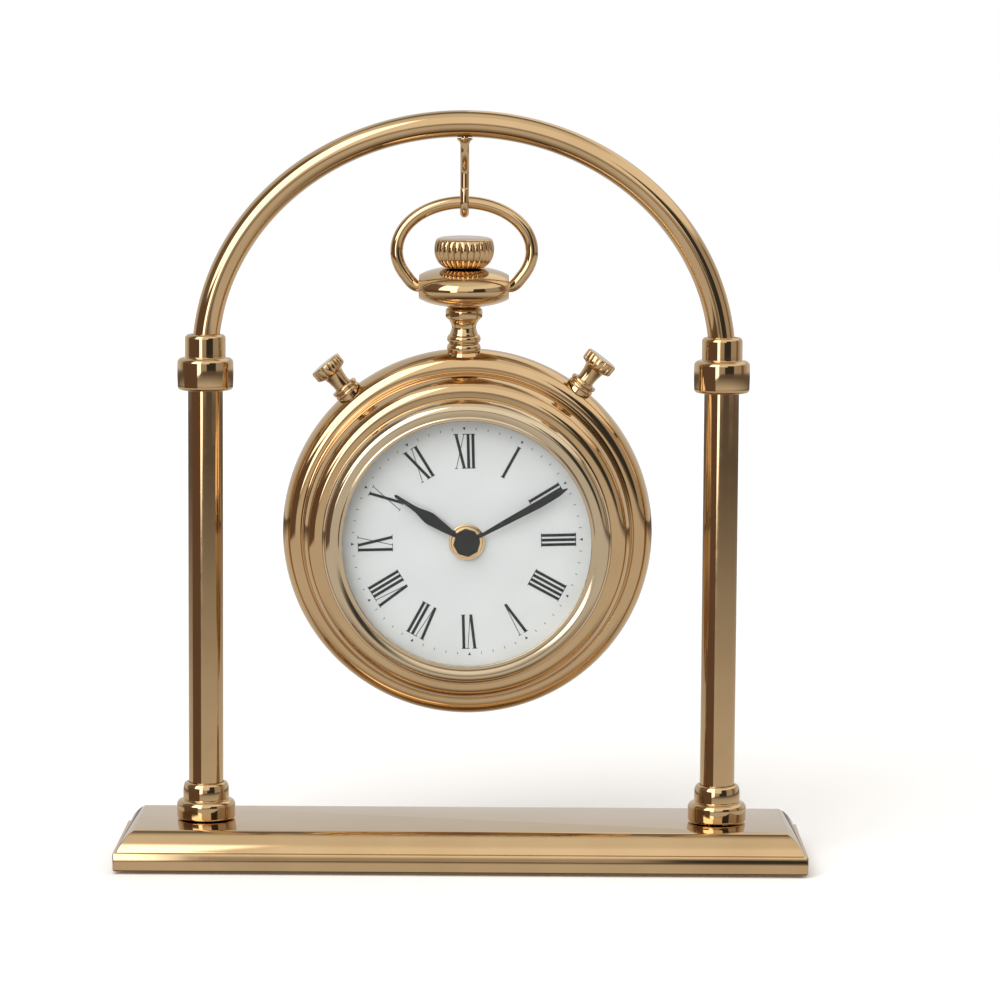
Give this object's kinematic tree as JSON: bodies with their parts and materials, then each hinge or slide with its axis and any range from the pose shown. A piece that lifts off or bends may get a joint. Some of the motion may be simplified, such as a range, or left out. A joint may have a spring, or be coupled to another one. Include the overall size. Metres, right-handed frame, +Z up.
{
  "type": "hanging watch table clock",
  "caption": "Brass table clock: a quartz clock shaped like a stopwatch hangs by its bow from a hook in an arched stand on a flat bevelled base.",
  "frame": {"origin": "middle of the footprint, on the table under the felt", "axes": "+X to the right as seen from the front, +Y away from the dial towards the back, +Z up"},
  "size_m": [0.254, 0.0646, 0.278],
  "materials": {
    "polished_brass": "polished",
    "champagne_brass": "polished",
    "bright_steel": "bright",
    "copper_wire": "enamelled copper wire",
    "white_dial": "satin",
    "black_paint": "satin",
    "black_plastic": "moulded",
    "white_nylon": "moulded",
    "board_green": "lacquered",
    "black_rubber": "matt",
    "green_felt": "felt",
    "clear_glass": "clear",
    "battery_sleeve": "printed sleeve"
  },
  "bodies": {
    "stand": {"base_plate": "polished_brass", "base_felt": "green_felt", "left_post_tube": "polished_brass", "right_post_tube": "polished_brass", "left_foot_flange": "polished_brass", "right_foot_flange": "polished_brass", "left_post_plug": "polished_brass", "right_post_plug": "polished_brass", "left_post_bolt": "bright_steel", "right_post_bolt": "bright_steel", "left_arch_collar": "polished_brass", "right_arch_collar": "polished_brass", "arch_rod": "polished_brass", "hanging_hook": "polished_brass"},
    "bow": {"bow_ring": "polished_brass"},
    "watch": {"pendant": "polished_brass", "pendant_neck": "polished_brass", "case_shell": "polished_brass", "back_cover": "polished_brass", "back_cover_screw_1": "bright_steel", "back_cover_screw_2": "bright_steel", "back_cover_screw_3": "bright_steel", "bezel_ring": "champagne_brass", "glass_lens": "clear_glass", "glass_spacer": "champagne_brass", "dial_plate": "white_dial", "left_pusher_collar": "polished_brass", "right_pusher_collar": "polished_brass", "left_pusher_spring": "bright_steel", "right_pusher_spring": "bright_steel", "centre_nut": "polished_brass", "centre_bush": "polished_brass", "dial_washer": "black_rubber", "movement_housing": "black_plastic", "movement_cover": "black_plastic", "battery_aa": "battery_sleeve", "battery_contact_negative": "bright_steel", "battery_contact_positive": "bright_steel", "circuit_board": "board_green", "drive_coil": "copper_wire", "step_motor": "bright_steel"},
    "crown": {"crown_knob": "polished_brass"},
    "left_pusher": {"left_pusher_button": "polished_brass"},
    "right_pusher": {"right_pusher_button": "polished_brass"},
    "minute_train": {"minute_hand": "black_paint", "hand_cap": "black_paint", "minute_arbor": "white_nylon"},
    "hour_train": {"hour_hand": "black_paint", "hour_wheel": "white_nylon"},
    "motion": {"motion_wheel": "white_nylon"},
    "third": {"third_wheel": "white_nylon"},
    "setting": {"set_knob": "black_plastic"}
  },
  "joints": [
    {"name": "bow_side_swing", "type": "hinge", "parent": "stand", "child": "bow", "pos_m": [0, 0, 0.24205], "axis": [0, 1, 0], "range_deg": [-8, 8]},
    {"name": "watch_tilt", "type": "hinge", "parent": "bow", "child": "watch", "pos_m": [0, 0, 0.2135], "axis": [1, 0, 0], "range_deg": [-25, 25]},
    {"name": "crown_turn", "type": "hinge", "parent": "watch", "child": "crown", "pos_m": [0, 0, 0.2135], "axis": [0, -0.061, 0.9981], "continuous": true},
    {"name": "left_pusher_press", "type": "slide", "parent": "watch", "child": "left_pusher", "axis": [0.6428, 0.0468, -0.7646], "range_m": [0, 0.0018], "stiffness_N_per_m": 150, "springref_m": -0.002, "deforming": ["left_pusher_spring"]},
    {"name": "right_pusher_press", "type": "slide", "parent": "watch", "child": "right_pusher", "axis": [-0.6018, 0.0488, -0.7971], "range_m": [0, 0.0018], "stiffness_N_per_m": 150, "springref_m": -0.002, "deforming": ["right_pusher_spring"]},
    {"name": "minute_hand_turn", "type": "hinge", "parent": "watch", "child": "minute_train", "pos_m": [0.0016, 0.0088, 0.12207], "axis": [0, 0.9981, 0.061], "continuous": true},
    {"name": "hour_hand_turn", "type": "hinge", "parent": "watch", "child": "hour_train", "pos_m": [0.0016, 0.0088, 0.12207], "axis": [0, 0.9981, 0.061], "continuous": true},
    {"name": "motion_wheel_turn", "type": "hinge", "parent": "watch", "child": "motion", "pos_m": [0.01366, 0.00862, 0.12496], "axis": [0, 0.9981, 0.061], "continuous": true},
    {"name": "third_wheel_turn", "type": "hinge", "parent": "watch", "child": "third", "pos_m": [-0.00456, 0.00837, 0.12902], "axis": [0, 0.9981, 0.061], "continuous": true},
    {"name": "set_knob_turn", "type": "hinge", "parent": "watch", "child": "setting", "pos_m": [0.0184, 0.00792, 0.13639], "axis": [0, 0.9981, 0.061], "continuous": true}
  ],
  "couplings": [
    {"joint": "hour_hand_turn", "follows": "minute_hand_turn", "ratio": 0.083333},
    {"joint": "motion_wheel_turn", "follows": "minute_hand_turn", "ratio": -0.33333},
    {"joint": "third_wheel_turn", "follows": "minute_hand_turn", "ratio": -8},
    {"joint": "set_knob_turn", "follows": "minute_hand_turn", "ratio": 1}
  ]
}
